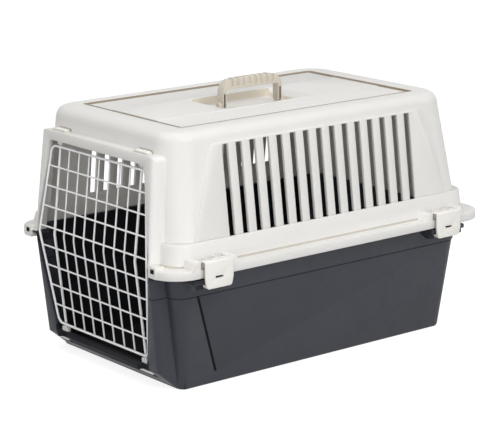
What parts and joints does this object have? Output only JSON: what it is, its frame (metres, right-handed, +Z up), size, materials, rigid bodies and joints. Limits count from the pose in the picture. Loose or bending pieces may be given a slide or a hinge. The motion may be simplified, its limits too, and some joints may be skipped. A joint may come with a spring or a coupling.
{
  "type": "pet transport carrier",
  "caption": "Hard pet transport carrier: dark tub, pale vented cover latched to its rim, bent wire door at one end and a folding carry handle on top.",
  "frame": {"origin": "centre of the footprint at ground level", "axes": "+Z up, the wire door faces -Y, +X is the right-hand side when the door is looked at from outside"},
  "size_m": [0.416, 0.6, 0.402],
  "materials": {
    "cover_plastic": "satin",
    "tub_plastic": "matt",
    "fitting_plastic": "satin",
    "handle_plastic": "satin",
    "pin_plastic": "satin",
    "door_wire": "gloss white coating"
  },
  "bodies": {
    "shells": {"bottom_shell": "tub_plastic", "top_shell": "cover_plastic", "latch_hinge_pin_front_right": "pin_plastic", "latch_hinge_pin_front_left": "pin_plastic", "latch_hinge_pin_rear_right": "pin_plastic", "latch_hinge_pin_rear_left": "pin_plastic", "handle_pivot_pin_front": "handle_plastic", "handle_pivot_pin_rear": "handle_plastic", "door_pin_bush_left": "fitting_plastic", "door_pin_bush_right": "fitting_plastic"},
    "door": {"door_frame": "door_wire", "door_rod_left": "door_wire", "door_rod_right": "door_wire", "door_upright_1": "door_wire", "door_upright_2": "door_wire", "door_upright_3": "door_wire", "door_upright_4": "door_wire", "door_upright_5": "door_wire", "door_upright_6": "door_wire", "door_upright_7": "door_wire", "door_crossbar_1": "door_wire", "door_crossbar_2": "door_wire", "door_crossbar_3": "door_wire", "door_crossbar_4": "door_wire", "door_crossbar_5": "door_wire", "door_crossbar_6": "door_wire", "door_crossbar_7": "door_wire", "door_crossbar_8": "door_wire"},
    "handle": {"carry_handle": "handle_plastic"},
    "slider_left": {"door_slider_left": "fitting_plastic"},
    "slider_right": {"door_slider_right": "fitting_plastic"},
    "latch_front_right": {"side_latch_front_right": "fitting_plastic"},
    "latch_front_left": {"side_latch_front_left": "fitting_plastic"},
    "latch_rear_right": {"side_latch_rear_right": "fitting_plastic"},
    "latch_rear_left": {"side_latch_rear_left": "fitting_plastic"}
  },
  "joints": [
    {"name": "door_swing", "type": "hinge", "parent": "shells", "child": "door", "pos_m": [-0.1015, -0.2733, 0.18], "axis": [0, 0, -1], "range_deg": [0, 110]},
    {"name": "handle_fold", "type": "hinge", "parent": "shells", "child": "handle", "pos_m": [0, -0.0022, 0.363], "axis": [0, 1, 0], "range_deg": [-90, 90]},
    {"name": "slider_lift_left", "type": "slide", "parent": "shells", "child": "slider_left", "axis": [0, 0, 1], "range_m": [0, 0.008], "stiffness_N_per_m": 250, "springref_m": -0.002},
    {"name": "slider_lift_right", "type": "slide", "parent": "shells", "child": "slider_right", "axis": [0, 0, 1], "range_m": [0, 0.008], "stiffness_N_per_m": 250, "springref_m": -0.002},
    {"name": "latch_front_right", "type": "hinge", "parent": "shells", "child": "latch_front_right", "pos_m": [0.1945, -0.222, 0.193], "axis": [0, -1, 0], "range_deg": [0, 90]},
    {"name": "latch_front_left", "type": "hinge", "parent": "shells", "child": "latch_front_left", "pos_m": [-0.1945, -0.222, 0.193], "axis": [0, 1, 0], "range_deg": [0, 90]},
    {"name": "latch_rear_right", "type": "hinge", "parent": "shells", "child": "latch_rear_right", "pos_m": [0.1945, 0.211, 0.193], "axis": [0, -1, 0], "range_deg": [0, 90]},
    {"name": "latch_rear_left", "type": "hinge", "parent": "shells", "child": "latch_rear_left", "pos_m": [-0.1945, 0.211, 0.193], "axis": [0, 1, 0], "range_deg": [0, 90]}
  ]
}
